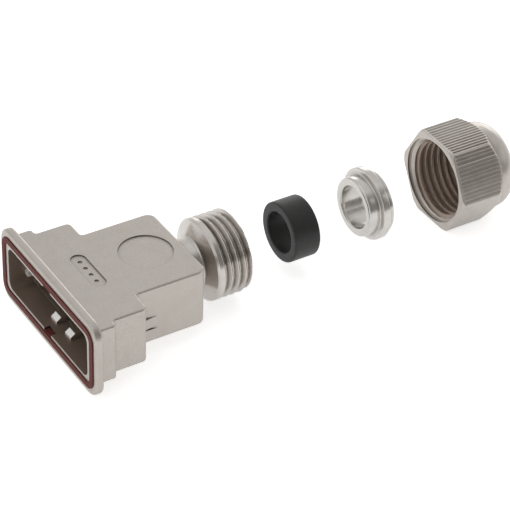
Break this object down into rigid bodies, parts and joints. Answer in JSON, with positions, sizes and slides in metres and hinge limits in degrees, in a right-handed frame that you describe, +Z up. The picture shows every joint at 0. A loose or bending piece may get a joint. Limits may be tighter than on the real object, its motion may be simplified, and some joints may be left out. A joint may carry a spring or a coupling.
{
  "type": "cable gland",
  "caption": "Metal connector hood with an integrated cable gland: sealed rectangular flange, threaded spigot, rubber grommet, thrust ring and domed cap nut, laid out exploded on one axis.",
  "frame": {"origin": "centre of the exploded assembly's bounding box, on the gland axis", "axes": "+X along the gland axis from the hood's mouth to the cable end, +Z up out of the hood's flat top, +Y across the flange"},
  "size_m": [0.0988, 0.0364, 0.018],
  "materials": {
    "matte_nickel_casting": "matte nickel plating on a zinc die casting, lightly blasted",
    "turned_nickel": "bright nickel plating on turned brass",
    "polished_nickel": "polished nickel plating on turned brass",
    "black_rubber": "matte moulded rubber",
    "seal_rubber": "matte red-brown silicone"
  },
  "bodies": {
    "hood": {"hood_shell": "matte_nickel_casting", "flange_seal": "seal_rubber", "gland_spigot": "turned_nickel", "spigot_o_ring": "black_rubber"},
    "grommet": {"grommet": "black_rubber"},
    "thrust_ring": {"thrust_ring": "polished_nickel"},
    "slip_washer": {"slip_washer": "polished_nickel"},
    "cap_nut": {"cap_nut": "turned_nickel"}
  },
  "joints": [
    {"name": "nut_turn", "type": "hinge", "parent": "slip_washer", "child": "cap_nut", "pos_m": [0.042, 0, 0], "axis": [-1, 0, 0], "range_deg": [0, 12240]},
    {"name": "nut_travel", "type": "slide", "parent": "hood", "child": "slip_washer", "axis": [-1, 0, 0], "range_m": [0, 0.05101]},
    {"name": "thrust_ring_travel", "type": "slide", "parent": "hood", "child": "thrust_ring", "axis": [-1, 0, 0], "range_m": [0, 0.02711]},
    {"name": "grommet_travel", "type": "slide", "parent": "hood", "child": "grommet", "axis": [-1, 0, 0], "range_m": [0, 0.01606]}
  ],
  "couplings": [
    {"joint": "nut_travel", "follows": "nut_turn", "m_per_rad": 0.00023873},
    {"joint": "thrust_ring_travel", "follows": "nut_turn", "m_per_rad": 0.00012686},
    {"joint": "grommet_travel", "follows": "nut_turn", "m_per_rad": 0.00007513}
  ]
}
